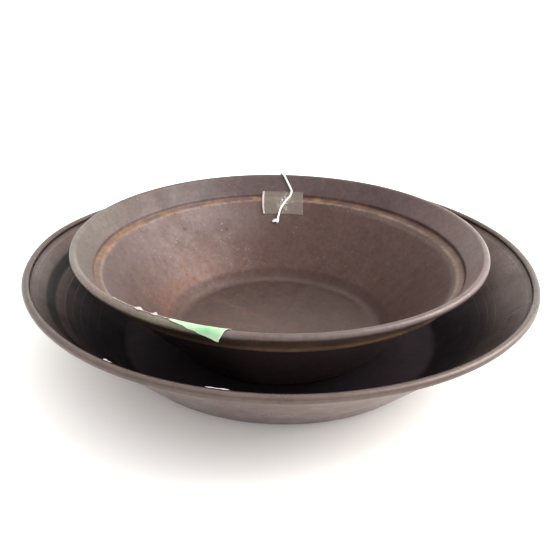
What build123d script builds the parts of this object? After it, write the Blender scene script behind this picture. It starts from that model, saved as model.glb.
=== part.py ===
"""Two nested pressed-steel gold pans, with the string and tape that are stuck to their rims.

Millimetres, +Z up.  The origin is the centre of the large pan's underside, and z = 0 is the
surface that it stands on.  The small pan sits on the large pan's floor and lifts straight out.
"""
from build123d import *
import os
from math import asin, atan2, cos, degrees, hypot, pi, radians, sin, sqrt, tan

os.makedirs("parts", exist_ok=True)

# ---- driving dimensions -------------------------------------------------------------------
SHEET = 1.0  # thickness of the pressed steel sheet
ROLL_R = 3.2  # outer radius of the rolled rim of either pan
WIRE_GAP = 0.05  # play between a rim wire and the sheet rolled round it
WIRE_BUTT = 0.5  # degrees left open where the two ends of a rim wire meet

LARGE_RIM_R = 228.5  # outer edge of the large pan
LARGE_ROLL_Z = 82.0  # height of its rim wire
LARGE_BASE_R = 150.2  # where its floor and wall would meet if the corner were sharp
LARGE_WIRE_OFFSET = 0.8  # how far its rim wire stands outside the line of the wall
LARGE_CREASE_BEND = 1.3  # radius of the reverse bend below its roll
LARGE_CURL_STOP = 14.0  # degrees between the wall and the raw edge of the roll

SMALL_RIM_R = 187.1
SMALL_ROLL_Z = 99.4
SMALL_BASE_R = 101.0
SMALL_CURL_STOP = -20.0  # this roll tucks in under the flange
NEST_GAP = 0.4  # play under the small pan where it sits on the large pan's floor

GROOVE_CREST = (163.1, 77.2)  # top of the small pan's lower wall, on the sheet's middle line
GROOVE_ROOT = (169.1, 79.3)  # outermost point of the groove
GROOVE_LIP = (169.9, 82.8)  # foot of the flange

CORNER_BEND = 10.0  # middle-line radius between floor and wall
GROOVE_BENDS = (5.0, 2.2, 3.5)  # crest, root and lip

TAPE = 0.3  # thickness of the tapes
TAPE_LIFT = 0.15  # air between a tape and the metal
FLAP_TAIL = 5.0  # how far the green flap is stuck down inside the flange
FLAP_WRAP = 165.0  # degrees that it is folded over the roll
FLAP_SECTOR = (-113.4, -99.6)  # azimuths of its two ends
FLAP_TIP = 1.5  # degrees of it left at its outer corner, where the torn edge comes out
FLAP_TRIM = (SMALL_RIM_R - 14.0, SMALL_RIM_R + 3.0)  # radii that take in the whole flap
TORN_START, TORN_WRAP = (145.0, 50.0)  # degrees, from the inside of a roll over its top
TORN_EDGE_SECTOR = (-131.0, -113.9)
SCRAP_SECTORS = ((-121.0, -119.0), (-101.6, -97.6))
CLEAR_TAPE_X = (-21.3, 24.8)  # the clear tape's two ends
CLEAR_TAPE_SECTOR = (79.0, 101.0)  # degrees, a little wider than the tape
CLEAR_TAPE_UP = 3.3  # its reach above the groove, up the flange
CLEAR_TAPE_DOWN = 17.5  # its reach below the groove, down the wall
CLEAR_TAPE_FOLD = 0.4  # how far beyond the groove's crest it folds
CLEAR_TAPE_BEND = 1.5

STRING_D = 2.2
# Corners of the string's route, from its frayed end on the inner wall, over the back of the
# small pan's rim and down behind it.
STRING_ROUTE = [
    (-5.4, 143.3, 57.3),
    (-3.6, 148.9, 64.0),
    (-1.5, 154.7, 71.0),
    (3.8, 159.0, 77.1),
    (12.6, 168.1, 85.3),
    (8.4, 173.5, 92.5),
    (4.5, 177.8, 99.0),
    (1.2, 181.7, 104.4),
    (-0.5, 185.9, 104.3),
    (-1.8, 188.7, 101.3),
    (-3.0, 189.1, 95.2),
    (-3.4, 189.7, 86.7),
    (-2.4, 189.4, 77.7),
    (-2.2, 190.0, 69.7),
]
ARC_SHARE = 0.45  # how much of the shorter run beside a corner its arc takes

# ---- derived sizes ------------------------------------------------------------------------
ROLL_MID_R = ROLL_R - SHEET / 2
WIRE_R = ROLL_R - SHEET - WIRE_GAP
LARGE_FLOOR_Z = SHEET / 2
SMALL_FLOOR_Z = SHEET + NEST_GAP + SHEET / 2
TAPE_MID_R = ROLL_R + TAPE_LIFT + TAPE / 2
TAPE_ABOVE = SHEET / 2 + TAPE_LIFT + TAPE / 2
LARGE_ROLL = (LARGE_RIM_R - ROLL_R, LARGE_ROLL_Z)
SMALL_ROLL = (SMALL_RIM_R - ROLL_R, SMALL_ROLL_Z)


def slope_to_roll(foot, roll, offset):
    """Angle of a wall that starts at foot and passes the rim wire at offset, on its inner side."""
    reach = hypot(roll[0] - foot[0], roll[1] - foot[1])
    return atan2(roll[1] - foot[1], roll[0] - foot[0]) + asin(offset / reach)


def beside(point, angle, along, left):
    """The point reached from point by going along a direction and then to its left."""
    return (
        point[0] + along * cos(angle) - left * sin(angle),
        point[1] + along * sin(angle) + left * cos(angle),
    )


def radial_plane(azimuth):
    """Upright plane through the Z axis, with its own x pointing outwards at azimuth degrees."""
    turn = radians(azimuth)
    return Plane(
        origin=(0, 0, 0), x_dir=(cos(turn), sin(turn), 0), z_dir=(sin(turn), -cos(turn), 0)
    )


def polar(radius, azimuth):
    """A point in plan, from its radius and its azimuth in degrees."""
    return (radius * cos(radians(azimuth)), radius * sin(radians(azimuth)))


LARGE_FOOT = (LARGE_BASE_R, LARGE_FLOOR_Z)
LARGE_SLOPE = slope_to_roll(LARGE_FOOT, LARGE_ROLL, LARGE_WIRE_OFFSET)
FLANGE_SLOPE = slope_to_roll(GROOVE_LIP, SMALL_ROLL, ROLL_MID_R)
WALL_SLOPE = atan2(GROOVE_CREST[1] - SMALL_FLOOR_Z, GROOVE_CREST[0] - SMALL_BASE_R)
FLANGE_TOP = beside(SMALL_ROLL, FLANGE_SLOPE, 0, ROLL_MID_R)

# The large pan's wall ends in a small reverse bend, and the roll starts where that bend ends.
BEND_SIDE = LARGE_WIRE_OFFSET + LARGE_CREASE_BEND
BEND_BACK = sqrt((ROLL_MID_R + LARGE_CREASE_BEND) ** 2 - BEND_SIDE**2)
BEND_TURN = degrees(atan2(BEND_SIDE, BEND_BACK))
BEND_CENTRE = beside(LARGE_ROLL, LARGE_SLOPE, -BEND_BACK, BEND_SIDE)
WALL_TOP = beside(LARGE_ROLL, LARGE_SLOPE, -BEND_BACK, LARGE_WIRE_OFFSET)

# ---- large pan ----------------------------------------------------------------------------
with BuildPart() as large_pan:
    with BuildSketch(Plane.XZ):
        with BuildLine():
            slope = degrees(LARGE_SLOPE)
            FilletPolyline((0, LARGE_FLOOR_Z), LARGE_FOOT, WALL_TOP, radius=CORNER_BEND)
            CenterArc(BEND_CENTRE, LARGE_CREASE_BEND, slope - 90, 90 - BEND_TURN)
            CenterArc(
                LARGE_ROLL, ROLL_MID_R, slope + 180 - BEND_TURN, BEND_TURN + LARGE_CURL_STOP - 360
            )
        trace(line_width=SHEET)
    revolve(axis=Axis.Z)
large_pan.part.label = "large_pan"
export_step(large_pan.part, "parts/large_pan.step")

# ---- small pan ----------------------------------------------------------------------------
with BuildPart() as small_pan:
    with BuildSketch(Plane.XZ):
        with BuildLine():
            FilletPolyline(
                (0, SMALL_FLOOR_Z),
                (SMALL_BASE_R, SMALL_FLOOR_Z),
                GROOVE_CREST,
                GROOVE_ROOT,
                GROOVE_LIP,
                FLANGE_TOP,
                radius=(CORNER_BEND, *GROOVE_BENDS),
            )
            CenterArc(SMALL_ROLL, ROLL_MID_R, degrees(FLANGE_SLOPE) + 90, SMALL_CURL_STOP - 270)
        trace(line_width=SHEET)
    revolve(axis=Axis.Z)
small_pan.part.label = "small_pan"
export_step(small_pan.part, "parts/small_pan.step")

# ---- rim wires: one ring of wire inside each roll, its ends butted at the back -------------
for name, roll in (("large_rim_wire", LARGE_ROLL), ("small_rim_wire", SMALL_ROLL)):
    with BuildPart() as rim_wire:
        with BuildSketch(radial_plane(90 + WIRE_BUTT / 2)):
            with Locations(roll):
                Circle(WIRE_R)
        revolve(axis=Axis.Z, revolution_arc=360 - WIRE_BUTT)
    rim_wire.part.label = name
    export_step(rim_wire.part, f"parts/{name}.step")

# ---- masking tape: a green flap folded over the front left of the small rim -----------------
with BuildPart() as masking_tape_flap:
    first, last = FLAP_SECTOR
    inner, outer = FLAP_TRIM
    with BuildSketch(radial_plane(first)):
        with BuildLine():
            Line(
                beside(SMALL_ROLL, FLANGE_SLOPE, -FLAP_TAIL, TAPE_MID_R),
                beside(SMALL_ROLL, FLANGE_SLOPE, 0, TAPE_MID_R),
            )
            CenterArc(SMALL_ROLL, TAPE_MID_R, degrees(FLANGE_SLOPE) + 90, -FLAP_WRAP)
        trace(line_width=TAPE)
    revolve(axis=Axis.Z, revolution_arc=last - first)
    # The torn edge runs slantwise from the inside of the rim to the outside.
    with BuildSketch():
        with BuildLine():
            Polyline(
                polar(inner, first),
                polar(SMALL_ROLL[0] - ROLL_R, first),
                polar(outer, last - FLAP_TIP),
                polar(outer, last),
                polar(inner, last),
                close=True,
            )
        make_face()
    extrude(amount=SMALL_ROLL_Z + 2 * ROLL_R, mode=Mode.INTERSECT)
masking_tape_flap.part.label = "masking_tape_flap"
export_step(masking_tape_flap.part, "parts/masking_tape_flap.step")


# ---- torn white tape: the edge left beside the flap, and two scraps on the large rim ---------
TORN_STRIPS = (
    ("torn_tape_edge", SMALL_ROLL, [TORN_EDGE_SECTOR]),
    ("rim_tape_scraps", LARGE_ROLL, SCRAP_SECTORS),
)
for name, roll, sectors in TORN_STRIPS:
    with BuildPart() as torn_strip:
        for first, last in sectors:
            with BuildSketch(radial_plane(first)):
                with BuildLine():
                    CenterArc(roll, TAPE_MID_R, TORN_START, -TORN_WRAP)
                trace(line_width=TAPE)
            revolve(axis=Axis.Z, revolution_arc=last - first)
    torn_strip.part.label = name
    export_step(torn_strip.part, f"parts/{name}.step")

# ---- clear tape across the groove at the back, holding the string ----------------------------
with BuildPart() as clear_tape:
    with BuildSketch(radial_plane(CLEAR_TAPE_SECTOR[0])):
        with BuildLine():
            FilletPolyline(
                beside(GROOVE_LIP, FLANGE_SLOPE, CLEAR_TAPE_UP, TAPE_ABOVE),
                beside(GROOVE_CREST, WALL_SLOPE, CLEAR_TAPE_FOLD, TAPE_ABOVE),
                beside(GROOVE_CREST, WALL_SLOPE, -CLEAR_TAPE_DOWN, TAPE_ABOVE),
                radius=CLEAR_TAPE_BEND,
            )
        trace(line_width=TAPE)
    revolve(axis=Axis.Z, revolution_arc=CLEAR_TAPE_SECTOR[1] - CLEAR_TAPE_SECTOR[0])
    with Locations(((CLEAR_TAPE_X[0] + CLEAR_TAPE_X[1]) / 2, SMALL_RIM_R, 0)):
        Box(
            CLEAR_TAPE_X[1] - CLEAR_TAPE_X[0],
            SMALL_RIM_R,
            2 * SMALL_RIM_R,
            mode=Mode.INTERSECT,
        )
clear_tape.part.label = "clear_tape"
export_step(clear_tape.part, "parts/clear_tape.step")

# ---- string: a round cord along straight runs joined by tangent arcs -------------------------
route = [Vector(point) for point in STRING_ROUTE]
bend_radii = []
for before, corner, after in zip(route, route[1:], route[2:]):
    arriving, leaving = corner - before, after - corner
    half_turn = radians(arriving.get_angle(leaving)) / 2
    bend_radii.append(ARC_SHARE * min(arriving.length, leaving.length) / tan(half_turn))
print("string bend radii, mm:", [round(radius, 1) for radius in bend_radii])

with BuildPart() as string:
    with BuildLine() as path:
        FilletPolyline(*STRING_ROUTE, radius=bend_radii)
    with BuildSketch(Plane(origin=path.line @ 0, z_dir=path.line % 0)):
        Circle(STRING_D / 2)
    sweep()
string.part.label = "string"
export_step(string.part, "parts/string.step")
length = sum(edge.length for edge in path.edges())
print(f"string: length {length:.1f} mm, volume {string.part.volume:.1f} mm3, against")
print(f"section times length {length * pi * STRING_D**2 / 4:.1f} mm3")
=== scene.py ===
"""Looks of the two nested gold pans: worn, rusty pressed steel, torn tape and a cotton string.

Shapes are worked out in millimetres, in the frame of the CAD model, and go into Blender in metres.
"""

from math import asin, atan2, cos, degrees, hypot, pi, sin, sqrt, tan

import bpy
import numpy as np
from mathutils import Matrix, Vector


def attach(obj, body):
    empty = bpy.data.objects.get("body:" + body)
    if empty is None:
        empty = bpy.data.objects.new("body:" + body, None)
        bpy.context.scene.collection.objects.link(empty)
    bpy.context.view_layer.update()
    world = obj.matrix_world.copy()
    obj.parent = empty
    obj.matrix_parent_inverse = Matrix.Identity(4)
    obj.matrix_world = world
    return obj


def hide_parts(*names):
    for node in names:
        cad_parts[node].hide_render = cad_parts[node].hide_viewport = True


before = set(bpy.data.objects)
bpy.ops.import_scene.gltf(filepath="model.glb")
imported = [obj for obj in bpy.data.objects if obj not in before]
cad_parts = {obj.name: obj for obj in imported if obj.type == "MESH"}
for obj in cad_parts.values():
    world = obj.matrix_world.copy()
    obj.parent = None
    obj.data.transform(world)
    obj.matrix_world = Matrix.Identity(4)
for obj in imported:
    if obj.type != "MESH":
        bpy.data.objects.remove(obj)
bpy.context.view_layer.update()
scene = bpy.context.scene
MM = 0.001
rng = np.random.default_rng(11)

# ---- camera ---------------------------------------------------------------------------------
# It looks at the pans from the front and above. Metres and radians; the lens is in millimetres.
CAM_DISTANCE = 0.602
CAM_ELEVATION = 0.5333
CAM_YAW, CAM_PITCH, CAM_ROLL = (-0.0101, 0.0852, 0.016)
CAM_LENS = 39.15

camera = bpy.data.objects.new("camera", bpy.data.cameras.new("camera"))
scene.collection.objects.link(camera)
scene.camera = camera
tilt = CAM_PITCH - CAM_ELEVATION
forward = Vector((sin(CAM_YAW) * cos(tilt), cos(CAM_YAW) * cos(tilt), sin(tilt)))
right = forward.cross(Vector((0, 0, 1))).normalized()
up = right.cross(forward)
turned_right = cos(CAM_ROLL) * right + sin(CAM_ROLL) * up
turned_up = cos(CAM_ROLL) * up - sin(CAM_ROLL) * right
camera.matrix_world = Matrix.Translation(
    (0, -CAM_DISTANCE * cos(CAM_ELEVATION), CAM_DISTANCE * sin(CAM_ELEVATION))
) @ Matrix((turned_right, turned_up, -forward)).transposed().to_4x4()
camera.data.lens = CAM_LENS
camera.data.clip_start = 0.02
camera.data.clip_end = 30

# ---- sizes, as in the CAD model, in millimetres ---------------------------------------------
SHEET = 1.0
ROLL_R = 3.2
ROLL_MID_R = 2.7
WIRE_R = 2.15
LARGE_ROLL = (225.3, 82.0)
LARGE_FOOT = (150.2, 0.5)
LARGE_WIRE_OFFSET = 0.8
LARGE_CREASE_BEND = 1.3
LARGE_CURL_STOP = 14.0
SMALL_ROLL = (183.9, 99.4)
SMALL_FOOT = (101.0, 1.9)
SMALL_CURL_STOP = -20.0
GROOVE_CREST = (163.1, 77.2)
GROOVE_ROOT = (169.1, 79.3)
GROOVE_LIP = (169.9, 82.8)
CORNER_BEND = 10.0
GROOVE_BENDS = (5.0, 2.2, 3.5)
SMALL_SHIFT = -1.4  # the small pan stands a little to the left of the large pan's centre


def slope_to_roll(foot, roll, offset):
    """Angle of a wall that starts at foot and passes the rim wire at offset, on its inner side."""
    reach = hypot(roll[0] - foot[0], roll[1] - foot[1])
    return atan2(roll[1] - foot[1], roll[0] - foot[0]) + asin(offset / reach)


def beside(point, angle, along, left):
    """The point reached from point by going along a direction and then to its left."""
    return (
        point[0] + along * cos(angle) - left * sin(angle),
        point[1] + along * sin(angle) + left * cos(angle),
    )


LARGE_SLOPE = slope_to_roll(LARGE_FOOT, LARGE_ROLL, LARGE_WIRE_OFFSET)
FLANGE_SLOPE = slope_to_roll(GROOVE_LIP, SMALL_ROLL, ROLL_MID_R)
WALL_SLOPE = atan2(GROOVE_CREST[1] - SMALL_FOOT[1], GROOVE_CREST[0] - SMALL_FOOT[0])
BEND_SIDE = LARGE_WIRE_OFFSET + LARGE_CREASE_BEND
BEND_BACK = sqrt((ROLL_MID_R + LARGE_CREASE_BEND) ** 2 - BEND_SIDE**2)
BEND_TURN = degrees(atan2(BEND_SIDE, BEND_BACK))


# ---- section lines --------------------------------------------------------------------------
CORNER_STEPS = 6
SAME_PLACE = 0.02  # points closer together than this are one


def arc(centre, radius, start, sweep, step=9.0):
    """Points along an arc; angles in degrees."""
    turns = np.radians(np.linspace(start, start + sweep, max(2, int(abs(sweep) / step) + 1)))
    return [(centre[0] + radius * cos(t), centre[1] + radius * sin(t)) for t in turns]


def rounded(points, radii, step=2.5):
    """A line through points, with its corners rounded and its straight parts cut into steps."""
    line = [np.array(points[0], float)]
    corners = zip(points, points[1:], points[2:], radii)
    for before, corner, after, radius in corners:
        before, corner, after = (np.array(p, float) for p in (before, corner, after))
        back = (before - corner) / np.linalg.norm(before - corner)
        on = (after - corner) / np.linalg.norm(after - corner)
        half = (pi - np.arccos(np.clip(back @ on, -1, 1))) / 2
        reach = radius * tan(half)
        middle = corner + (back + on) / np.linalg.norm(back + on) * radius / cos(half)
        first, last = (corner + back * reach - middle, corner + on * reach - middle)
        line += straight(line[-1], middle + first, step)
        for share in np.linspace(0, 1, CORNER_STEPS + 1)[1:]:
            mixed = first * (1 - share) + last * share
            line.append(middle + mixed / np.linalg.norm(mixed) * radius)
    line += straight(line[-1], np.array(points[-1], float), step)
    return line


def straight(start, end, step):
    """Points after start on the way to end."""
    count = max(1, int(np.linalg.norm(end - start) / step))
    return [start + (end - start) * i / count for i in range(1, count + 1)]


def sheet_loop(line):
    """Both faces of a sheet with that middle line, as rows of radius, height and inner (1 or 0)."""
    line = np.array(line, float)
    line = line[np.r_[True, np.linalg.norm(np.diff(line, axis=0), axis=1) > SAME_PLACE]]
    along = np.gradient(line, axis=0)
    along /= np.linalg.norm(along, axis=1)[:, None]
    left = np.stack([-along[:, 1], along[:, 0]], 1) * SHEET / 2
    left[0] = (0, SHEET / 2)
    inner, outer = (line + left, line - left)
    inner[0, 0] = outer[0, 0] = 0
    ones = np.ones((len(line), 1))
    return np.vstack([np.hstack([inner, ones]), np.hstack([outer, 0 * ones])[::-1]])


def large_line():
    """Middle line of the large pan's sheet: floor, wall, reverse bend and curl round the wire."""
    wall_top = beside(LARGE_ROLL, LARGE_SLOPE, -BEND_BACK, LARGE_WIRE_OFFSET)
    bend = beside(LARGE_ROLL, LARGE_SLOPE, -BEND_BACK, BEND_SIDE)
    slope = degrees(LARGE_SLOPE)
    line = rounded([(0, LARGE_FOOT[1]), LARGE_FOOT, wall_top], [CORNER_BEND])
    line += arc(bend, LARGE_CREASE_BEND, slope - 90, 90 - BEND_TURN, step=12)[1:]
    sweep = BEND_TURN + LARGE_CURL_STOP - 360
    return line + arc(LARGE_ROLL, ROLL_MID_R, slope + 180 - BEND_TURN, sweep)[1:]


def small_line():
    """Middle line of the small pan's sheet: floor, wall, groove, flange and tucked-in curl."""
    top = beside(SMALL_ROLL, FLANGE_SLOPE, 0, ROLL_MID_R)
    points = [(0, SMALL_FOOT[1]), SMALL_FOOT, GROOVE_CREST, GROOVE_ROOT, GROOVE_LIP, top]
    line = rounded(points, [CORNER_BEND, *GROOVE_BENDS])
    start = degrees(FLANGE_SLOPE) + 90
    return line + arc(SMALL_ROLL, ROLL_MID_R, start, SMALL_CURL_STOP - 270)[1:]


# ---- how use has bent the pans --------------------------------------------------------------
DENT_AT, DENT_WIDTH, DENT_DEPTH = (145, 22, 3.6)  # in the large rim: degrees, degrees, depth


def waves(azimuth, orders, size, seed):
    """A smooth random function of azimuth, in radians, that closes on itself."""
    draw = np.random.default_rng(seed)
    total = np.zeros_like(azimuth)
    for order in orders:
        total += np.sin(order * azimuth + draw.uniform(0, 2 * pi)) * draw.uniform(0.5, 1) / order
    return total * size


def hollow(azimuth, centre, width):
    """1 at centre, falling to 0 over width; both in degrees."""
    away = (np.degrees(azimuth) - centre + 180) % 360 - 180
    return np.exp(-((away / width) ** 2))


def bent_large(radius, azimuth, height):
    """Place of a point of the large pan once its rim is dented and out of round."""
    near_rim = np.clip((radius - 165) / 60, 0, 1) ** 1.5
    off_floor = np.clip((height - 2) / 25, 0, 1)
    height = height - near_rim * DENT_DEPTH * hollow(azimuth, DENT_AT, DENT_WIDTH)
    height = height + near_rim * waves(azimuth, orders=(2, 3, 5, 8), size=0.35, seed=3)
    swell = waves(azimuth, orders=(3, 5, 7, 11), size=0.3, seed=5)
    radius = radius + off_floor * swell - off_floor * 0.25
    radius = radius + off_floor * 0.12 * np.sin(11 * azimuth + radius / 9)
    return placed(radius, azimuth, height, shift=0)


def bent_small(radius, azimuth, height):
    """Place of a point of the small pan, which stands a little off centre."""
    near_rim = np.clip((radius - 110) / 70, 0, 1)
    height = height + near_rim * waves(azimuth, orders=(2, 3, 5, 9), size=0.22, seed=9)
    radius = radius + near_rim * waves(azimuth, orders=(2, 5, 7, 12), size=0.22, seed=13)
    radius = radius + near_rim * (1 - near_rim) * 0.5 * np.sin(9 * azimuth + radius / 8)
    return placed(radius, azimuth, height, SMALL_SHIFT)


def placed(radius, azimuth, height, shift):
    """Cylinder coordinates as points, in metres."""
    x, y = (radius * np.cos(azimuth) + shift, radius * np.sin(azimuth))
    return np.stack([x, y, height], -1) * MM


# ---- meshes ---------------------------------------------------------------------------------
def add_mesh(name, points, faces, attributes=()):
    """A mesh object from points in metres, its faces and its per-point numbers."""
    mesh = bpy.data.meshes.new(name)
    mesh.from_pydata(points, [], faces)
    mesh.shade_smooth()
    for label, values in attributes:
        layer = mesh.attributes.new(label, "FLOAT", "POINT")
        layer.data.foreach_set("value", np.ascontiguousarray(values, np.float32).ravel())
    mesh.update()
    thing = bpy.data.objects.new(name, mesh)
    scene.collection.objects.link(thing)
    return thing


def spun(name, loop, bend, steps=600):
    """The loop turned about the Z axis and bent. Its first and last points lie on the axis."""
    azimuth = np.linspace(0, 2 * pi, steps, endpoint=False)
    rows = loop[1:-1]
    turn, radius = np.meshgrid(azimuth, rows[:, 0], indexing="ij")
    height = np.broadcast_to(rows[:, 1], radius.shape)
    body = bend(radius, turn, height).reshape(-1, 3)
    zero = np.zeros(1)
    poles = [bend(zero, zero, loop[i, 1:2])[0] for i in (0, -1)]
    points = np.vstack([body, poles])
    count = len(rows)
    faces = []
    top, bottom = (len(body), len(body) + 1)
    for i in range(steps):
        a, b = (i * count, (i + 1) % steps * count)
        faces.append((top, a, b))
        faces.extend((a + j, a + j + 1, b + j + 1, b + j) for j in range(count - 1))
        faces.append((bottom, b + count - 1, a + count - 1))
    numbers = [
        (label, np.r_[np.tile(rows[:, k], steps), loop[0, k], loop[-1, k]])
        for k, label in enumerate(("ring_radius", "ring_height", "inner_face"))
    ]
    return add_mesh(name, points.tolist(), faces, numbers)


def ring(name, roll, radius, bend, steps=360):
    """A closed ring of round wire inside a rolled rim."""
    turns = np.radians(np.arange(0, 360, 20))
    azimuth = np.linspace(0, 2 * pi, steps, endpoint=False)
    turn, angle = np.meshgrid(azimuth, turns, indexing="ij")
    points = bend(roll[0] + radius * np.cos(angle), turn, roll[1] + radius * np.sin(angle))
    count = len(turns)
    faces = []
    for i in range(steps):
        a, b = (i * count, (i + 1) % steps * count)
        faces.extend(
            (a + j, a + (j + 1) % count, b + (j + 1) % count, b + j) for j in range(count)
        )
    return add_mesh(name, points.reshape(-1, 3).tolist(), faces)


def slab(name, grid, thickness, attributes):
    """A closed thin sheet under a grid of points in metres, with numbers given on the grid."""
    along, across = (np.gradient(grid, axis=0), np.gradient(grid, axis=1))
    normal = np.cross(along, across)
    normal /= np.linalg.norm(normal, axis=2)[:, :, None]
    under = grid - normal * thickness * MM
    rows, cols = grid.shape[:2]
    size = rows * cols
    at = np.arange(size).reshape(rows, cols)
    quads = np.stack([at[:-1, :-1], at[1:, :-1], at[1:, 1:], at[:-1, 1:]], -1).reshape(-1, 4)
    faces = quads.tolist() + (quads[:, ::-1] + size).tolist()
    border = np.r_[at[:-1, 0], at[-1, :-1], at[:0:-1, -1], at[0, :0:-1]]
    for a, b in zip(border, np.roll(border, -1)):
        faces.append((int(b), int(a), int(a) + size, int(b) + size))
    points = np.vstack([grid.reshape(-1, 3), under.reshape(-1, 3)])
    doubled = [(label, np.r_[values.ravel(), values.ravel()]) for label, values in attributes]
    return add_mesh(name, points.tolist(), faces, doubled)


# ---- material nodes -------------------------------------------------------------------------
class Shader:
    """A Principled material built up from small node helpers."""

    def __init__(self, name):
        self.material = bpy.data.materials.new(name)
        self.material.use_nodes = True
        self.tree = self.material.node_tree
        self.surface = self.tree.nodes["Principled BSDF"]

    def node(self, kind, **settings):
        made = self.tree.nodes.new(kind)
        for key, value in settings.items():
            setattr(made, key, value)
        return made

    def put(self, socket, value):
        if isinstance(value, bpy.types.NodeSocket):
            self.tree.links.new(value, socket)
        else:
            socket.default_value = value

    def set(self, **values):
        for key, value in values.items():
            self.put(self.surface.inputs[key.replace("_", " ")], value)

    def maths(self, operation, *values):
        made = self.node("ShaderNodeMath", operation=operation)
        for socket, value in zip(made.inputs, values):
            self.put(socket, value)
        return made.outputs[0]

    def add(self, *values):
        total = values[0]
        for value in values[1:]:
            total = self.maths("ADD", total, value)
        return total

    def times(self, *values):
        total = values[0]
        for value in values[1:]:
            total = self.maths("MULTIPLY", total, value)
        return total

    def number(self, name):
        made = self.node("ShaderNodeAttribute", attribute_type="GEOMETRY", attribute_name=name)
        return made.outputs["Fac"]

    def place(self):
        return self.node("ShaderNodeTexCoord").outputs["Object"]

    def azimuth(self):
        """Direction from the axis in plan, in turns from -0.5 to 0.5."""
        parts = self.node("ShaderNodeSeparateXYZ")
        self.put(parts.inputs[0], self.place())
        return self.times(self.maths("ARCTAN2", parts.outputs[1], parts.outputs[0]), 0.5 / pi)

    def vector(self, x, y, z):
        made = self.node("ShaderNodeCombineXYZ")
        for socket, value in zip(made.inputs, (x, y, z)):
            self.put(socket, value)
        return made.outputs[0]

    def noise(self, scale, detail=4.0, roughness=0.55, where=None, distortion=0.0):
        made = self.node("ShaderNodeTexNoise")
        self.put(made.inputs["Vector"], self.place() if where is None else where)
        for key, value in (
            ("Scale", scale),
            ("Detail", detail),
            ("Roughness", roughness),
            ("Distortion", distortion),
        ):
            self.put(made.inputs[key], value)
        return made.outputs["Fac"]

    def spots(self, scale, size):
        """1 inside round spots of that size, relative to their spacing."""
        made = self.node("ShaderNodeTexVoronoi")
        self.put(made.inputs["Vector"], self.place())
        self.put(made.inputs["Scale"], scale)
        return self.ease(made.outputs["Distance"], size, size * 0.45)

    def ease(self, value, low, high, to_low=0.0, to_high=1.0):
        """Smooth step from to_low at low to to_high at high."""
        made = self.node("ShaderNodeMapRange", interpolation_type="SMOOTHSTEP")
        for socket, number in zip(made.inputs, (value, low, high, to_low, to_high)):
            self.put(socket, number)
        return made.outputs[0]

    def band(self, value, centre, half, soft):
        """1 within half of centre, falling to 0 over soft."""
        away = self.maths("ABSOLUTE", self.maths("SUBTRACT", value, centre))
        return self.ease(away, half + soft, half)

    def blend(self, share, first, second):
        made = self.node("ShaderNodeMix", data_type="RGBA")
        self.put(made.inputs["Factor"], share)
        self.put(made.inputs[6], first)
        self.put(made.inputs[7], second)
        return made.outputs[2]

    def scaled(self, colour, share):
        """colour made darker or lighter by a number."""
        made = self.node("ShaderNodeMix", data_type="RGBA", blend_type="MULTIPLY")
        made.inputs["Factor"].default_value = 1
        self.put(made.inputs[6], colour)
        self.put(made.inputs[7], share)
        return made.outputs[2]

    def bump(self, height, strength, distance):
        made = self.node("ShaderNodeBump")
        self.put(made.inputs["Height"], height)
        self.put(made.inputs["Strength"], strength)
        self.put(made.inputs["Distance"], distance)
        return made.outputs[0]

    def give(self, thing):
        thing.data.materials.append(self.material)


def tone(red, green, blue):
    """A colour given in screen values of 0 to 255."""
    shares = (c / 255 for c in (red, green, blue))
    return (*(c / 12.92 if c < 0.04045 else ((c + 0.055) / 1.055) ** 2.4 for c in shares), 1)


# ---- worn steel -----------------------------------------------------------------------------
# Radii and heights are in millimetres. Directions are in turns from +X towards +Y: +-0.5 is the
# left, 0.25 the back, 0 the right and -0.25 the front.
INSIDE_SHADE = 0.5  # painted shade: the inner faces of both pans are painted at this share of their colour, darker than the outer faces


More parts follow.
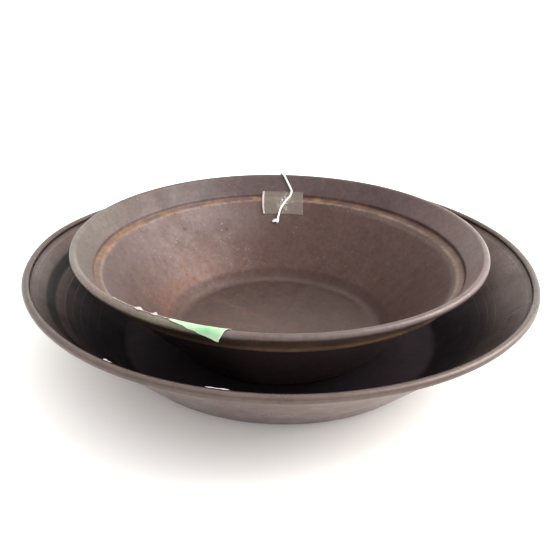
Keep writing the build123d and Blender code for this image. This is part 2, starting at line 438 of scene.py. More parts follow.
class PanSteel(Shader):
    """Worn pressed steel that knows where on its pan each point is. Its colour grows in layers."""

    def __init__(self, name, cloud, patch, mottle, grain):
        super().__init__(name)
        labels = ("ring_radius", "ring_height", "inner_face")
        self.radius, self.height, self.inner = (self.number(label) for label in labels)
        self.outer = self.maths("SUBTRACT", 1, self.inner)
        self.turn = self.azimuth()
        self.cloud = self.noise(cloud, 5, 0.6)
        self.patch = self.noise(patch, 6, 0.62)
        self.mottle = self.noise(mottle, 6, 0.72)
        self.grain = self.noise(grain, 4, 0.6)

    def side(self, centre, low, high):
        """1 on the side of the pan that lies at centre, in turns; low and high are cosines."""
        away = self.times(self.maths("SUBTRACT", self.turn, centre), 2 * pi)
        return self.ease(self.maths("COSINE", away), low, high)

    def ragged_radius(self, size):
        """The radius, pushed to and fro by the patches, so that an edge isn't a clean circle."""
        return self.add(self.radius, self.times(self.maths("SUBTRACT", self.patch, 0.5), size))

    def turned(self, pitch, drift, detail, roughness):
        """Fine marks that run round the pan."""
        where = self.vector(
            self.times(self.radius, pitch), self.times(self.height, pitch), self.times(self.turn, drift)
        )
        return self.noise(1, detail, roughness, where)

    def circles(self, along, rows, soft):
        """Thin lines round the pan; rows of radius, half width and strength."""
        lines = [self.times(self.band(along, place, half, soft), share) for place, half, share in rows]
        total = lines[0]
        for line in lines[1:]:
            total = self.maths("MAXIMUM", total, line)
        return total

    def layer(self, share, colour):
        self.colour = self.blend(share, self.colour, colour)

    def gain(self, share, factor):
        """Multiply the colour by factor where share is 1."""
        self.colour = self.scaled(self.colour, self.ease(share, 0, 1, 1, factor))

    def mottled(self, value, low, high, darkest, lightest):
        self.colour = self.scaled(self.colour, self.ease(value, low, high, darkest, lightest))

    def shade_by_side(self, where, *sides):
        """Painted light and shade: lighten or darken by direction; sides are rows of centre, low, high
        and change.
        """
        change = [self.times(self.side(*place), share) for *place, share in sides]
        self.layer(where, self.scaled(self.colour, self.add(1, *change)))

    def flecked(self, scale, low, high, colour):
        flecks = self.ease(self.noise(scale, 5, 0.72), low, high)
        self.layer(self.times(flecks, 0.7), colour)
        return flecks


# ---- small pan's steel ----------------------------------------------------------------------
def small_base(s):
    """Brown steel with patches, and streaks that run up and down the wall."""
    parts = s.node("ShaderNodeSeparateXYZ")
    s.put(parts.inputs[0], s.place())
    out = s.maths("MAXIMUM", s.times(s.radius, MM), 0.02)
    ways = [s.maths("DIVIDE", parts.outputs[i], out) for i in (0, 1)]

    def streaks(count, drift, detail, roughness):
        where = s.vector(*(s.times(way, count) for way in ways), s.times(s.height, drift))
        return s.noise(1, detail, roughness, where)

    s.colour = s.blend(s.ease(s.cloud, 0.36, 0.66), tone(112, 89, 84), tone(122, 103, 98))
    s.layer(s.ease(s.patch, 0.44, 0.74, 0, 0.5), tone(116, 78, 64))
    s.layer(s.ease(streaks(26, 0.012, 4, 0.6), 0.5, 0.8, 0, 0.25), tone(136, 114, 108))
    s.layer(s.ease(streaks(90, 0.05, 3, 0.7), 0.55, 0.8, 0, 0.2), tone(92, 70, 64))
    s.mottled(s.mottle, 0.3, 0.72, 0.8, 1.22)


def small_wall(s):
    """Rustier low on the left, painted shade that makes the right dark and red, painted light on the
    far left, and greyer high up on the left.
    """
    low_left = s.times(s.side(0.42, 0.19, 0.81), s.ease(s.height, 62, 18), s.ease(s.patch, 0.36, 0.6))
    s.layer(s.times(low_left, s.inner, 0.4), tone(146, 100, 80))
    # Painted shade: the right and back, which face away from the light, are painted dark and red.
    painted_shade_red = s.blend(s.mottle, tone(84, 55, 49), tone(114, 82, 75))
    s.layer(s.times(s.side(0.1, -0.45, 0.65), 0.85), painted_shade_red)
    # Painted light: the far left, which faces the light, is painted lighter.
    s.gain(s.side(0.53, 0.3, 1), 1.2)
    # Greyer high up on the left.
    grey_high_left = s.times(s.side(0.46, 0.06, 0.81), s.ease(s.height, 38, 66))
    grey_high_left = s.times(grey_high_left, s.ease(s.cloud, 0.3, 0.6, 0.5, 1))
    s.layer(s.times(grey_high_left, s.inner, 0.6), tone(134, 117, 115))


def small_floor(s):
    """An even floor, and a ring of painted shade, also rougher, where it turns up into the wall."""
    edge = SMALL_FOOT[0]
    floor = s.times(s.inner, s.ease(s.radius, edge + 11, edge - 5))
    s.layer(s.times(floor, 0.7), s.blend(s.mottle, tone(100, 80, 74), tone(116, 97, 91)))
    # Painted shade in the corner where the floor turns up into the wall.
    foot = s.times(s.inner, s.band(s.radius, edge + 2.5, 3.5, 5))
    s.gain(foot, 0.86)
    return foot


def small_flange(s):
    """Greyer than the wall and brown at the back, with painted light at the left and right and painted
    shade at the back left.
    """
    flange = s.times(s.inner, s.ease(s.height, GROOVE_LIP[1] - 0.3, GROOVE_LIP[1] + 2.2))
    grey = s.blend(s.patch, tone(116, 101, 98), tone(134, 120, 117))
    grey = s.blend(s.ease(s.noise(11, 3, 0.5), 0.44, 0.66, 0, 0.5), grey, tone(118, 90, 86))
    grey = s.blend(s.times(s.side(0.52, 0.7, 0.97), 0.7), grey, tone(126, 118, 108))
    grey = s.blend(s.times(s.band(s.turn, 0.17, 0.07, 0.1), 0.75), grey, tone(106, 84, 84))
    # Painted light where the flange faces the light at the left and right, and painted shade at the
    # back left, where the window's highlight falls.
    light = s.add(
        s.times(s.side(0.53, 0.6, 0.97), 0.3),
        s.times(s.side(-0.01, 0.6, 0.97), 0.7),
        s.times(s.side(0.36, 0.7, 0.98), -0.28),
    )
    grey = s.scaled(grey, s.add(s.ease(s.mottle, 0.3, 0.7, 0.92, 1.08), light))
    s.layer(s.times(flange, 0.85), grey)


def small_groove(s):
    """Rust in the groove, thickest at the back left, dust at the right, a painted highlight along its
    lower edge and painted shade along its upper edge.
    """
    at_left = s.ease(s.side(0.4, -0.5, 0.8), 0, 1, 0.3, 1)
    groove = s.times(s.band(s.ragged_radius(6), 165.8, 2.0, 2.2), s.band(s.height, 79.5, 3.2, 2.5))
    rust = s.times(groove, s.inner, at_left, s.ease(s.noise(36, 6, 0.72), 0.42, 0.62, 0.12, 0.9))
    s.layer(rust, s.blend(s.mottle, tone(142, 92, 58), tone(190, 146, 108)))

    dust = s.times(s.band(s.ragged_radius(8), 162.6, 2.6, 3.4), s.band(s.turn, -0.01, 0.09, 0.13))
    dust = s.times(dust, s.ease(s.height, 68, 73), s.ease(s.height, 82, 80))
    dust = s.times(dust, s.ease(s.cloud, 0.3, 0.6, 0.3, 0.8), s.inner)
    s.layer(dust, s.blend(s.patch, tone(126, 106, 96), tone(156, 138, 126)))

    # Painted highlight along the groove's lower edge.
    crest_highlight = s.band(s.radius, GROOVE_CREST[0] - 0.1, 0.7, 1.3)
    crest_highlight = s.times(crest_highlight, s.band(s.height, GROOVE_CREST[1] + 0.8, 1.2, 1.6), s.inner)
    crest_highlight = s.times(crest_highlight, s.ease(s.noise(30, 5, 0.7), 0.36, 0.6, 0.15, 1))
    s.layer(s.times(crest_highlight, 0.55), tone(184, 158, 142))

    # Painted shade along the groove's upper edge, strongest at the right.
    lip_shade = s.band(s.height, GROOVE_LIP[1] - 1, 0.6, 1.0)
    lip_shade = s.times(lip_shade, s.band(s.radius, GROOVE_LIP[0] - 0.7, 1.2, 0.8), s.inner)
    lip_shade = s.times(lip_shade, s.ease(s.patch, 0.3, 0.6, 0.1, 0.45), s.ease(at_left, 0.3, 1, 1.3, 0.3))
    s.layer(lip_shade, tone(48, 32, 28))
    return rust


def small_outside(s):
    """Rusty under the rim and on the ridge that the groove makes, with a painted highlight on that
    ridge; dark below it; painted shade under the roll at the front left.
    """
    s.layer(s.times(s.outer, s.ease(s.patch, 0.35, 0.6, 0.2, 0.8)), tone(150, 118, 96))
    below = s.times(s.outer, s.ease(s.height, 84, 79))
    s.layer(s.times(below, 0.8), s.blend(s.patch, tone(96, 83, 88), tone(126, 112, 116)))
    # Rust and a painted highlight on the ridge, mostly at the front.
    ridge = s.times(s.outer, s.band(s.height, 81.6, 1.8, 1.2), s.ease(s.patch, 0.35, 0.6, 0.4, 0.9))
    ridge = s.times(ridge, s.ease(s.side(-0.2, 0.3, 0.9), 0, 1, 0.3, 0.9))
    s.layer(ridge, s.blend(s.mottle, tone(140, 106, 82), tone(192, 158, 122)))
    # Painted shade under the roll at the front left.
    s.gain(s.times(s.outer, s.side(-0.41, 0.55, 0.87), s.ease(s.height, 96, 93.5)), 0.3)


def small_roll(s):
    """Old adhesive beside the green tape, and painted light and shade along the top of the roll:
    lighter at the front left, darker at the right.
    """
    glue = s.times(s.band(s.turn, -0.33, 0.035, 0.02), s.ease(s.height, 96, 99))
    glue = s.times(glue, s.ease(s.patch, 0.3, 0.55))
    s.layer(s.times(glue, 0.8), s.blend(s.mottle, tone(104, 100, 80), tone(142, 137, 114)))
    roll = s.times(s.ease(s.radius, 179.5, 182), s.ease(s.height, 96, 98))
    # Painted light at the front left of the roll and painted shade at its right.
    s.shade_by_side(roll, (-0.06, 0.6, 0.95, -0.15), (-0.36, 0.8, 0.97, 0.35))


def small_marks(s):
    """Pale specks, scuffs and chips, and dark pits."""
    specks = s.times(s.spots(260, 0.17), s.ease(s.noise(22, 3), 0.52, 0.64))
    s.layer(s.times(specks, 0.75), tone(188, 176, 168))
    scuffs = s.times(s.ease(s.noise(170, 4, 0.7), 0.66, 0.74), s.ease(s.cloud, 0.44, 0.58))
    s.layer(s.times(scuffs, 0.6), tone(178, 162, 152))
    chips = s.times(s.band(s.turn, 0.37, 0.04, 0.05), s.band(s.height, 52, 14, 12), s.inner)
    chips = s.times(chips, s.ease(s.noise(300, 3, 0.6), 0.66, 0.72))
    s.layer(s.times(chips, 0.7), tone(190, 178, 174))
    pits = s.times(s.spots(300, 0.13), s.ease(s.noise(20, 3), 0.46, 0.6))
    s.layer(s.times(pits, 0.6), tone(44, 30, 26))


def small_steel():
    s = PanSteel("small_pan_steel", cloud=9, patch=34, mottle=95, grain=240)
    small_base(s)
    small_wall(s)
    foot = small_floor(s)
    small_flange(s)
    rust = small_groove(s)
    flecks = s.flecked(70, 0.62, 0.72, tone(140, 84, 56))
    small_outside(s)
    small_roll(s)
    small_marks(s)
    s.mottled(s.grain, 0.2, 0.8, 0.84, 1.12)
    # Painted shade on the inner faces.
    s.gain(s.inner, INSIDE_SHADE)

    wall = s.times(s.inner, s.ease(s.radius, 98, 110), s.ease(s.radius, 183, 180))
    rough = s.add(
        s.ease(s.patch, 0.3, 0.7, 0.34, 0.48),
        s.times(rust, 0.3),
        s.times(flecks, 0.2),
        s.times(wall, 0.16),
        s.times(foot, 0.14),
    )
    bumps = s.add(
        s.times(s.grain, 0.3),
        s.patch,
        s.times(s.mottle, 0.5),
        s.times(s.turned(0.55, 1.5, 4, 0.7), 0.4),
        s.times(rust, 0.8),
    )
    s.set(
        Base_Color=s.colour,
        Metallic=s.ease(rust, 0, 1, 0.55, 0.1),
        Roughness=rough,
        Normal=s.bump(bumps, 0.35, 0.0008),
    )
    return s


# ---- large pan's steel ----------------------------------------------------------------------
# Lines round the large pan: radius, half width and strength.
SCRATCHES = (
    (197.6, 0.12, 0.8),
    (192.0, 0.1, 0.6),
    (186.0, 0.1, 0.5),
    (180.5, 0.1, 0.25),
    (172.0, 0.1, 0.3),
    (219.4, 0.15, 0.7),
)
OUTER_LINES = ((216.5, 0.2, 0.4), (212.0, 0.15, 0.3), (206.4, 0.2, 0.35), (199.5, 0.15, 0.25))
RIM_REFLECTION_RING = (207.8, 1.8, 3.2)  # radius, half width and softness of a dark ring on the left wall: the painted reflection of the small pan's rim


def large_steel():
    s = PanSteel("large_pan_steel", cloud=8, patch=30, mottle=90, grain=220)
    turned = s.turned(0.8, 1.2, 5, 0.75)
    s.colour = s.blend(s.ease(s.cloud, 0.36, 0.66), tone(105, 84, 79), tone(124, 104, 99))
    s.layer(s.ease(s.patch, 0.46, 0.76, 0, 0.5), tone(108, 76, 66))
    s.layer(s.ease(turned, 0.5, 0.72, 0, 0.6), tone(146, 127, 123))
    s.mottled(s.mottle, 0.3, 0.72, 0.86, 1.16)

    # Below the outermost scratch the inside is darker: painted shade, growing down into the gap between
    # the two pans.
    # On the left there is a step there, and a dark ring near the small pan's rim that is its painted
    # reflection.
    at_left = s.side(0.53, 0.1, 0.8)
    step = s.times(s.ease(s.radius, 198.0, 197.2, 0, 0.6), s.ease(at_left, 0, 1, 0.12, 1))
    deep_shade = s.times(s.inner, s.maths("MAXIMUM", step, s.ease(s.radius, 208, 178)))
    s.gain(deep_shade, 0.17)
    s.layer(s.times(deep_shade, 0.5), tone(84, 68, 82))
    # Painted shade on the large pan's floor, which is also made rougher.
    bottom = s.times(s.inner, s.ease(s.radius, LARGE_FOOT[0] + 7.8, LARGE_FOOT[0] - 8.2))
    s.gain(bottom, 0.85)
    # Painted reflection of the small pan's rim on the left wall, also made a little rougher.
    rim_reflection = s.times(s.band(s.radius, *RIM_REFLECTION_RING), at_left, s.inner)
    s.gain(rim_reflection, 0.05)

    # The lines waver a little and are broken.
    wavering = s.add(s.radius, s.times(s.maths("SUBTRACT", s.noise(18, 2), 0.5), 0.9))
    broken = s.ease(s.noise(26, 5, 0.7), 0.38, 0.58, 0.25, 1)
    scratches = s.times(s.circles(wavering, SCRATCHES, 0.3), s.inner, broken)
    s.layer(scratches, tone(160, 142, 132))
    # Painted shade in the crease beside the rim's roll.
    crease_shade = s.times(s.inner, s.band(s.radius, LARGE_ROLL[0] - 3.7, 0.3, 0.6))
    s.layer(s.times(crease_shade, 0.5), tone(30, 24, 22))
    s.layer(s.times(s.circles(wavering, OUTER_LINES, 0.35), s.outer, broken), tone(176, 160, 152))

    # The roll is worn on top and rusty here and there, with painted shade at its right front and at the
    # left.
    roll = s.ease(s.radius, LARGE_ROLL[0] - 3.1, LARGE_ROLL[0] - 1.8)
    s.layer(s.times(roll, 0.6), s.blend(s.patch, tone(106, 91, 84), tone(138, 124, 116)))
    # Painted shade at the roll's right front and at the left.
    s.shade_by_side(roll, (-0.1, 0.7, 0.97, -0.17), (0.5, 0.7, 0.97, -0.12))
    flecks = s.flecked(80, 0.63, 0.74, tone(132, 84, 56))
    scuffs = s.times(s.ease(s.noise(160, 4, 0.7), 0.67, 0.75), s.ease(s.cloud, 0.44, 0.6))
    s.layer(s.times(scuffs, 0.6, s.ease(deep_shade, 0, 0.5, 1, 0)), tone(184, 170, 162))
    s.mottled(s.grain, 0.2, 0.8, 0.86, 1.12)
    # Painted shade on the inner faces.
    s.gain(s.inner, INSIDE_SHADE)

    rough = s.add(
        s.ease(s.patch, 0.3, 0.7, 0.26, 0.4),
        s.times(flecks, 0.25),
        s.times(deep_shade, 0.2),
        s.times(bottom, 0.2),
        s.times(rim_reflection, 0.1),
    )
    bumps = s.add(s.times(s.grain, 0.3), s.patch, s.times(turned, 0.8), s.times(scratches, -0.8))
    s.set(
        Base_Color=s.colour,
        Metallic=0.7,
        Roughness=rough,
        Normal=s.bump(bumps, 0.3, 0.0007),
    )
    return s


# ---- other materials -------------------------------------------------------------------------
def wire_steel():
    s = Shader("rim_wire_steel")
    rust = s.ease(s.noise(60, 5, 0.6), 0.4, 0.65)
    s.set(
        Base_Color=s.blend(rust, tone(96, 88, 84), tone(122, 74, 50)),
        Metallic=0.8,
        Roughness=s.ease(rust, 0, 1, 0.4, 0.8),
        Normal=s.bump(s.noise(300, 4), 0.3, 0.0003),
    )
    return s


def paper_tape(name, fresh, deep_shade, torn_tone):
    """Crepe paper tape, painted a darker colour in its creases as painted shade, and pale where it is
    torn.
    """
    s = Shader(name)
    crepe = s.noise(700, 4, 0.7, distortion=0.5)
    # Painted shade in the tape's folds, given per point.
    fold = s.number("fold_shade")
    colour = s.blend(fold, fresh, deep_shade)
    colour = s.blend(s.number("torn"), colour, torn_tone)
    colour = s.scaled(colour, s.ease(crepe, 0.2, 0.8, 0.9, 1.08))
    s.set(
        Base_Color=colour,
        Roughness=0.72,
        Normal=s.bump(crepe, 0.5, 0.0004),
        Subsurface_Weight=0.12,
        Subsurface_Scale=0.001,
    )
    return s


def clear_film():
    s = Shader("clear_tape")
    crinkle = s.noise(85, 2, 0.5, distortion=1.2)
    lines = s.band(crinkle, 0.5, 0.014, 0.03)
    clump = s.number("wrinkled")
    white = s.times(lines, clump)
    dirt = s.times(s.spots(420, 0.2), s.ease(s.noise(60, 3), 0.5, 0.62))
    colour = s.blend(white, tone(132, 120, 110), tone(206, 200, 190))
    colour = s.blend(s.times(dirt, 0.8), colour, tone(60, 46, 38))
    see = s.add(s.number("film"), s.times(white, 0.5), s.times(dirt, 0.35))
    s.set(
        Base_Color=colour,
        Roughness=0.3,
        Alpha=s.maths("MINIMUM", see, 0.97),
        Normal=s.bump(s.add(s.times(crinkle, clump), s.times(white, 0.5)), 0.3, 0.0005),
    )
    return s


STRING_TWISTS = 30
STRANDS = 2


def cotton():
    s = Shader("string")
    where = s.node("ShaderNodeTexCoord").outputs["UV"]
    parts = s.node("ShaderNodeSeparateXYZ")
    s.put(parts.inputs[0], where)
    along, round_it = parts.outputs[:2]
    turns = s.add(s.times(along, STRING_TWISTS), s.times(round_it, STRANDS))
    twist = s.maths("SINE", s.times(turns, 2 * pi))
    fluff = s.noise(1500, 3, 0.7)
    # Painted shade in the grooves between the strands, which are painted darker.
    colour = s.blend(s.ease(twist, -1, 0.2), tone(214, 204, 198), tone(250, 247, 243))
    s.set(
        Base_Color=colour,
        Roughness=0.85,
        Normal=s.bump(s.add(s.times(twist, 0.6), s.times(fluff, 0.5)), 0.4, 0.0003),
    )
    return s


def painted(name, colour, roughness):
    s = Shader(name)
    s.set(Base_Color=colour, Roughness=roughness)
    return s


# ---- string ---------------------------------------------------------------------------------
STRING_D = 0.0022
STRING_ROUTE = [
    (-0.0054, 0.1433, 0.0573),
    (-0.0036, 0.1489, 0.0640),
    (-0.0015, 0.1547, 0.0710),
    (0.0038, 0.1590, 0.0771),
    (0.0126, 0.1681, 0.0853),
    (0.0084, 0.1735, 0.0925),
    (0.0045, 0.1778, 0.0990),
    (0.0012, 0.1817, 0.1044),
    (-0.0005, 0.1859, 0.1043),
    (-0.0018, 0.1887, 0.1013),
    (-0.0030, 0.1891, 0.0952),
    (-0.0034, 0.1897, 0.0867),
    (-0.0024, 0.1894, 0.0777),
    (-0.0022, 0.1900, 0.0697),
]


def add_curve(name, routes, thickness):
    """Round threads along routes of points in metres, as NURBS curves."""
    curve = bpy.data.curves.new(name, "CURVE")
    curve.dimensions = "3D"
    curve.resolution_u = 12
    curve.bevel_depth = thickness / 2
    curve.bevel_resolution = 4
    curve.use_fill_caps = True
    for route in routes:
        spline = curve.splines.new("NURBS")
        spline.points.add(len(route) - 1)
        for point, place in zip(spline.points, route):
            point.co = (*place, 1)
        spline.order_u = 3
        spline.use_endpoint_u = True
    thing = bpy.data.objects.new(name, curve)
    scene.collection.objects.link(thing)
    return thing


string = add_curve("cotton_string", [STRING_ROUTE], STRING_D)
thread = cotton()
thread.give(string)

# Its cut end has come apart into two tufts that lie on the wall.
end = Vector(STRING_ROUTE[0])
run = (end - Vector(STRING_ROUTE[1])).normalized()
wall_out = Vector((0, -sin(WALL_SLOPE), cos(WALL_SLOPE)))
sideways = run.cross(wall_out).normalized()
fibres = []
for tuft, count, reach, spread in ((2.2, 22, 0.0056, 0.3), (-0.05, 14, 0.0022, 0.5)):
    for _ in range(count):
        lean = tuft + rng.normal(0, spread) * 0.5
        length = reach * rng.uniform(0.65, 1.1)
        start = end - run * rng.uniform(0.0008, 0.0045)
        start += sideways * rng.uniform(-0.0007, 0.0007) + wall_out * rng.uniform(-0.0006, 0.0005)
        way = (run + sideways * lean).normalized()
        middle = start + way * length * 0.5 + wall_out * rng.uniform(-0.0001, 0.0008)
        last = start + way * length + sideways * rng.normal(0, 0.0005)
        last += wall_out * rng.uniform(-0.0006, 0.0002)
        fibres.append([start, middle, last])
for _ in range(16):
    # Loosened threads beside the last centimetre.
    aside = rng.uniform(-0.0011, 0.0011)
    top = end - run * rng.uniform(0.006, 0.011) + sideways * aside * 0.6
    lean = sideways * rng.normal(0, 0.0004) + wall_out * rng.uniform(-0.0003, 0.0009)
    middle = end - run * rng.uniform(0.002, 0.005) + sideways * aside * 1.3 + lean
    fibres.append([top, middle, end + sideways * aside * 1.2 - wall_out * 0.0002])
fray = add_curve("string_fray", fibres, 0.00042)
thread.give(fray)

# ---- the pans -------------------------------------------------------------------------------
large = spun("large_pan_shell", sheet_loop(large_line()), bent_large)
small = spun("small_pan_shell", sheet_loop(small_line()), bent_small)
large_steel().give(large)
small_steel().give(small)
large_wire = ring("large_rim_wire_ring", LARGE_ROLL, WIRE_R, bent_large)
small_wire = ring("small_rim_wire_ring", SMALL_ROLL, WIRE_R, bent_small)
wire = wire_steel()
wire.give(large_wire)
wire.give(small_wire)

# ---- tape over the small rim ----------------------------------------------------------------
TAPE_LIFT = 0.15  # gap between tape and steel
TAPE = 0.16  # thickness


def over_roll(roll, start, along, lift, leave):
    """Radius and height after going over a roll from its tangent at start degrees; all arrays.

    Tape leaves the roll at the angle leave and hangs straight from there.
    """
    reach = ROLL_R + lift
    on_roll = np.radians(start - leave) * reach
    turn = np.radians(start) - np.clip(along, 0, on_roll) / reach
    off = np.maximum(along - on_roll, 0) + np.minimum(along, 0)
    radius = roll[0] + reach * np.cos(turn) + off * np.sin(turn)
    height = roll[1] + reach * np.sin(turn) - off * np.cos(turn)
    return radius, height


def ragged(count, size, seed):
    """A rough torn outline: steps of different lengths."""
    draw = np.random.default_rng(seed)
    knots = np.arange(0, count + 5, 5)
    coarse = np.interp(np.arange(count), knots, draw.normal(0, 1, len(knots)))
    return size * (0.7 * coarse + 0.4 * draw.normal(0, 1, count))


FLAP_SECTOR = (-113.4, -99.6)  # degrees round the rim
FLAP_TAIL = 5.0  # how far it reaches down inside the rim
FLAP_LEAVES = 18.0  # it hangs free from this angle of the roll, in degrees
FLAP_GRID = (120, 44)
FLAP_LOWER_EDGE = (4.3, 7.1, 1.9)  # how far over the roll it reaches at the left; slant; bow


def green_flap():
    """Tape folded over the small rim. Its torn lower edge slants and hangs free of the roll."""
    flange_start = degrees(FLANGE_SLOPE) + 90
    cols, rows = FLAP_GRID
    share = np.linspace(0, 1, cols)[:, None] * np.ones((1, rows))
    down = np.ones((cols, 1)) * np.linspace(0, 1, rows)[None, :]
    at_left, slant, bow = FLAP_LOWER_EDGE
    lower = at_left + slant * share + bow * share**2 + ragged(cols, 0.03, 21)[:, None]
    along = -FLAP_TAIL + (lower + FLAP_TAIL) * down
    right_end = 1 - 0.15 * np.clip((along - 1.0) / 11, 0, 1) ** 0.7
    right_end = right_end + ragged(rows, 0.001, 22)[None, :] * share**6
    first, last = FLAP_SECTOR
    azimuth = np.radians(first + (last - first) * share * right_end)
    crumple = 0.08 * np.sin(share * 19 + along * 0.5) + 0.05 * np.sin(share * 43 - along * 0.9)
    lift = TAPE_LIFT + TAPE + 0.3 + crumple * np.clip(along / 4, 0, 1)
    lift = np.maximum(lift, TAPE_LIFT + TAPE)
    radius, height = over_roll(SMALL_ROLL, flange_start, along, lift, FLAP_LEAVES)
    torn = np.clip(1 - (lower - along) / 0.7, 0, 1) + np.clip((share - 0.975) / 0.02, 0, 1)
    # Painted shade: a darker green in a fold near the middle and along the crumples.
    fold_shade = np.exp(-(((share - 0.72) / 0.16) ** 2)) * np.exp(-(((along - 6.3) / 2.6) ** 2))
    fold_shade = 0.8 * fold_shade + 0.15 * np.clip(np.sin(share * 19 + along * 0.5 + 1), 0, 1)
    return slab(
        "green_tape_flap",
        bent_small(radius, azimuth, height),
        TAPE,
        [("torn", np.clip(torn, 0, 1)), ("fold_shade", np.clip(fold_shade, 0, 1))],
    )


flap = green_flap()
paper_tape("green_tape", tone(157, 190, 152), tone(108, 162, 114), tone(200, 208, 192)).give(flap)

white = paper_tape("white_tape", tone(162, 153, 148), tone(146, 137, 128), tone(176, 167, 163))
STRIP_WIDTH = 0.45  # where no hump widens it


def torn_strip(name, roll, bend, sector, widths, middle, seed):
    """A torn strip of tape along a roll, middle degrees round the roll's own section.

    Its widths are humps: azimuth in degrees, spread, extra width and how far it curls up.
    """
    count, across = (int(abs(sector[1] - sector[0]) * 14) + 12, 7)
    angle = np.linspace(*sector, count)
    width, curl = (np.full(count, STRIP_WIDTH), np.zeros(count))
    for centre, spread, extra, rise in widths:
        hump = np.exp(-(((angle - centre) / spread) ** 2))
        width, curl = (width + extra * hump, curl + rise * hump)
    width = np.maximum(width + ragged(count, 0.16, seed), 0.15)
    width = width * np.clip(np.minimum(np.arange(count), np.arange(count)[::-1]) / 4, 0.1, 1)
    share = np.linspace(0, 1, across)
    turn = middle + degrees(1) * width[:, None] / ROLL_R * (0.35 - share[None, :])
    lift = TAPE_LIFT + TAPE + 0.12 + 0.1 * np.sin(angle * 5)[:, None] * share
    lift = lift + curl[:, None] * (1 - share[None, :]) ** 1.5
    radius = roll[0] + (ROLL_R + lift) * np.cos(np.radians(turn))
    height = roll[1] + (ROLL_R + lift) * np.sin(np.radians(turn))
    azimuth = np.radians(angle)[:, None] * np.ones((1, across))
    edge = np.abs(share - 0.5)[None, :] * 2 * np.ones((count, 1))
    marks = [("torn", edge), ("fold_shade", 0 * edge)]
    strip = slab(name, bend(radius, azimuth, height), TAPE, marks)
    white.give(strip)
    return strip


torn_edge = torn_strip(
    "torn_tape_strip",
    SMALL_ROLL,
    bent_small,
    sector=(-131.0, -113.6),
    widths=[
        (-130.2, 0.8, 0.5, 0.1),
        (-126.8, 1.0, 0.35, 0.0),
        (-122.2, 0.9, 2.2, 1.5),
        (-117.6, 0.6, 2.0, 1.5),
        (-114.4, 1.2, 0.6, 0.1),
    ],
    middle=119,
    seed=31,
)
left_scrap = torn_strip(
    "rim_scrap_left",
    LARGE_ROLL,
    bent_large,
    sector=(-121.0, -119.1),
    widths=[(-120.6, 0.4, 0.9, 0.6), (-119.5, 0.4, 0.4, 0.1)],
    middle=122,
    seed=33,
)
right_scrap = torn_strip(
    "rim_scrap_right",
    LARGE_ROLL,
    bent_large,
    sector=(-101.6, -97.6),
    widths=[(-100.6, 0.8, 0.4, 0.2), (-98.6, 0.7, 0.7, 0.3)],
    middle=115,
    seed=35,
)

# ---- clear tape across the groove -----------------------------------------------------------
FILM_X = (-21.3, 24.8)  # its left and right ends
FILM_UP = 3.3  # how far it reaches up the flange
FILM_DOWN = 17.5  # how far it reaches down the wall
FILM = 0.12  # thickness
FILM_ABOVE = SHEET / 2 + TAPE_LIFT + FILM
FILM_GRID = (110, 60)


def film_line(rows):
    """Radius and height along the tape, which bridges the groove, and the share of the way."""
    section = np.array(
        [
            beside(GROOVE_LIP, FLANGE_SLOPE, FILM_UP, FILM_ABOVE),
            beside(GROOVE_LIP, FLANGE_SLOPE, 0.4, FILM_ABOVE),
            beside(GROOVE_CREST, WALL_SLOPE, 0.4, FILM_ABOVE),
            beside(GROOVE_CREST, WALL_SLOPE, -1.2, FILM_ABOVE),
            beside(GROOVE_CREST, WALL_SLOPE, -FILM_DOWN, FILM_ABOVE),
        ]
    )
    ways = np.r_[0, np.cumsum(np.linalg.norm(np.diff(section, axis=0), axis=1))]
    over = np.linspace(0, ways[-1], rows)
    soft = np.ones(5) / 5
    lines = (np.interp(over, ways, section[:, k]) for k in (0, 1))
    line_r, line_z = (np.convolve(np.pad(v, 2, "edge"), soft, "valid") for v in lines)
    return line_r, line_z, over / ways[-1]


def crumpled_film():
    """The clear sheet, puckered along a slanting line near its middle."""
    cols, rows = FILM_GRID
    line_r, line_z, way = film_line(rows)
    across = np.linspace(*FILM_X, cols)[:, None] * np.ones((1, rows))
    x_share = (across - FILM_X[0]) / (FILM_X[1] - FILM_X[0])
    y_share = np.ones((cols, 1)) * way[None, :]
    pucker = np.exp(-(((across - 4.5 + 9 * (y_share - 0.4)) / 7) ** 2))
    rise = 0.18 + 0.16 * np.sin(across * 1.9 + 7 * y_share) + 0.12 * np.sin(across * 0.8 - 11 * y_share)
    rise = rise * (0.35 + 0.65 * pucker) + 0.35 * np.clip((0.1 - x_share) / 0.1, 0, 1)
    azimuth = np.pi / 2 - np.arcsin((across - SMALL_SHIFT) / line_r[None, :])
    film_r = line_r[None, :] - np.clip(rise, 0, 0.6) * sin(WALL_SLOPE)
    film_z = line_z[None, :] + np.clip(rise, 0, 0.6) * cos(WALL_SLOPE)
    edge = np.minimum.reduce([x_share, 1 - x_share, y_share, 1 - y_share])
    film_share = 0.27 + 0.16 * np.clip(1 - edge / 0.03, 0, 1) + 0.14 * pucker
    wrinkled = np.clip(0.04 + pucker * 1.1 * np.exp(-(((y_share - 0.45) / 0.3) ** 2)), 0, 1)
    return slab(
        "clear_tape_film",
        bent_small(film_r, azimuth, film_z),
        FILM,
        [("film", film_share), ("wrinkled", wrinkled)],
    )


film = crumpled_film()
clear_film().give(film)


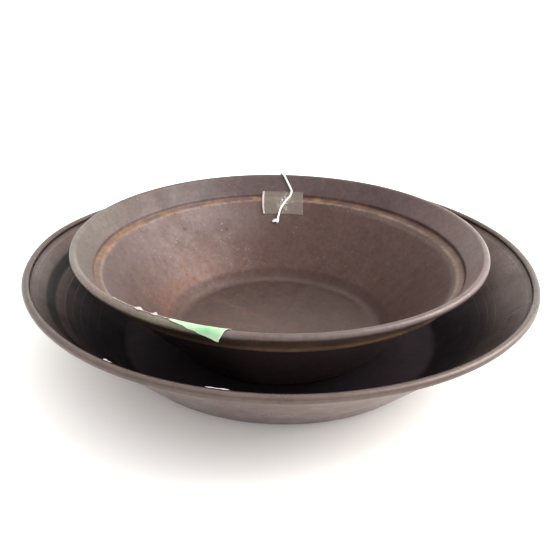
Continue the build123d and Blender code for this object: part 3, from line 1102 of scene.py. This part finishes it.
def folded_edge():
    """The tape's left edge, which is folded over on itself and has gone white."""
    cols, rows = (9, FILM_GRID[1])
    line_r, line_z = film_line(rows)[:2]
    fold_width = 2.1 + ragged(rows, 0.06, 41) + 0.25 * np.sin(np.linspace(0, 5, rows))
    fold_down = np.linspace(0, 1, rows)
    fold_x = FILM_X[0] - 1.3 + np.linspace(0, 1, cols)[:, None] * fold_width[None, :]
    fold_x = fold_x - 0.4 + (5.4 * fold_down**2 - 4.1 * fold_down)[None, :]
    fold_lift = 0.75 + 0.35 * np.sin(np.linspace(0, pi, cols))[:, None] * np.ones((1, rows))
    azimuth = np.pi / 2 - np.arcsin((fold_x - SMALL_SHIFT) / line_r[None, :])
    fold_r = line_r[None, :] - fold_lift * sin(WALL_SLOPE)
    fold_z = line_z[None, :] + fold_lift * cos(WALL_SLOPE)
    return slab(
        "clear_tape_fold",
        bent_small(fold_r, azimuth, fold_z),
        FILM,
        [("torn", np.full((cols, rows), 0.6)), ("fold_shade", np.zeros((cols, rows)))],
    )


fold = folded_edge()
white.give(fold)

# ---- what stands for what -------------------------------------------------------------------
for piece, body, slot, nodes in (
    (large, "large_pan", "large_pan_steel", ["large_pan"]),
    (large_wire, "large_pan", "rim_wire_steel", ["large_rim_wire"]),
    (left_scrap, "large_pan", "white_tape", ["rim_tape_scraps"]),
    (right_scrap, "large_pan", "white_tape", ["rim_tape_scraps"]),
    (small, "small_pan", "small_pan_steel", ["small_pan"]),
    (small_wire, "small_pan", "rim_wire_steel", ["small_rim_wire"]),
    (flap, "small_pan", "green_tape", ["masking_tape_flap"]),
    (torn_edge, "small_pan", "white_tape", ["torn_tape_edge"]),
    (film, "small_pan", "clear_tape", ["clear_tape"]),
    (fold, "small_pan", "white_tape", []),
    (string, "small_pan", "string", ["string"]),
    (fray, "small_pan", "string", []),
):
    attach(piece, body)
    if nodes:
        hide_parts(*nodes)

# ---- floor, backdrop and light --------------------------------------------------------------
# One sheet of paper runs along the floor and bends up behind the pans.
SWEEP_HALF_WIDTH = 2600
SWEEP_BEND = 600
sweep_points = rounded([(-1600, 0), (1300, 0), (1300, 2600)], [SWEEP_BEND], step=200)
ends = (-SWEEP_HALF_WIDTH, SWEEP_HALF_WIDTH)
floor_grid = np.array([[(x * MM, y * MM, z * MM) for y, z in sweep_points] for x in ends])
count = len(sweep_points)
faces = [(i, i + count, i + 1 + count, i + 1) for i in range(count - 1)]
floor = add_mesh("studio_floor", floor_grid.reshape(-1, 3).tolist(), faces)
painted("studio_paper", (0.9, 0.893, 0.87, 1), 0.9).give(floor)


def softbox(name, place, size, power, colour):
    """A square area light that faces the pans; place and size are in metres, power in watts."""
    light = bpy.data.lights.new(name, "AREA")
    light.size = size
    light.energy = power
    light.color = colour
    thing = bpy.data.objects.new(name, light)
    thing.location = place
    thing.rotation_euler = (Vector((0, 0, 0.06)) - Vector(place)).to_track_quat("-Z", "Y").to_euler()
    scene.collection.objects.link(thing)


SKY_BRIGHT_SIDE = (0.5, 0.55, 0.67)
SKY_FADE = (-0.6, 0.8, 1.15, 2.3)  # the cosines where it starts and stops growing; its strengths


def studio_sky():
    """White light from all round, strongest from the upper right and back."""
    world = bpy.data.worlds.new("studio")
    scene.world = world
    world.use_nodes = True
    nodes, links = (world.node_tree.nodes, world.node_tree.links)
    sky = nodes["Background"]
    direction = nodes.new("ShaderNodeTexCoord")
    facing = nodes.new("ShaderNodeVectorMath")
    facing.operation = "DOT_PRODUCT"
    facing.inputs[1].default_value = SKY_BRIGHT_SIDE
    fade = nodes.new("ShaderNodeMapRange")
    fade.interpolation_type = "SMOOTHSTEP"
    for socket, number in zip(list(fade.inputs)[1:5], SKY_FADE):
        socket.default_value = number
    links.new(direction.outputs["Generated"], facing.inputs[0])
    links.new(facing.outputs["Value"], fade.inputs[0])
    links.new(fade.outputs[0], sky.inputs["Strength"])
    sky.inputs["Color"].default_value = (1, 1, 1, 1)


softbox("window", place=(1.5, 0.1, 1.15), size=1.3, power=44, colour=(1.0, 0.99, 0.97))
studio_sky()
scene.view_settings.view_transform = "Standard"
